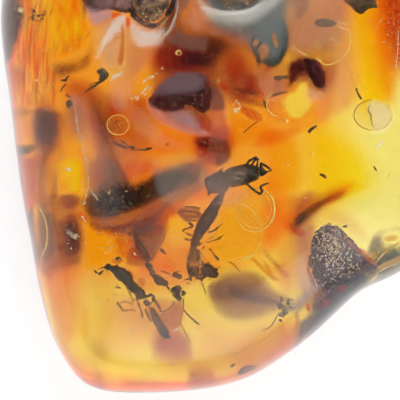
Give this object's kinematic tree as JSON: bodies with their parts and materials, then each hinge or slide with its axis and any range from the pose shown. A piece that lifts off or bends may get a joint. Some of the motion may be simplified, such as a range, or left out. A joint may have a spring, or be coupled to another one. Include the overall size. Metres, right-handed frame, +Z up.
{
  "type": "insect inclusion in amber",
  "caption": "Polished nugget of clear amber with insects, resin-flow discs and bark debris sealed inside; lies on a flat back as a display piece",
  "frame": {"origin": "middle of the bounding box, on the surface that the flat back rests on", "axes": "+Z up out of the broad polished face, +Y to the wide end, +X to the thin edge"},
  "size_m": [0.0398, 0.041, 0.015],
  "materials": {
    "amber": "hand-polished clear fossil resin, gloss with fine scratches",
    "insect": "dark fossil cuticle",
    "wing": "thin brown wing membrane",
    "debris": "rotten bark and plant crumbs, rough",
    "flow": "stained resin flow surface, soft edged",
    "gas": "thin gas gap inside the resin, mirror bright at its rim"
  },
  "bodies": {
    "root": {"amber": "amber"}
  },
  "joints": []
}
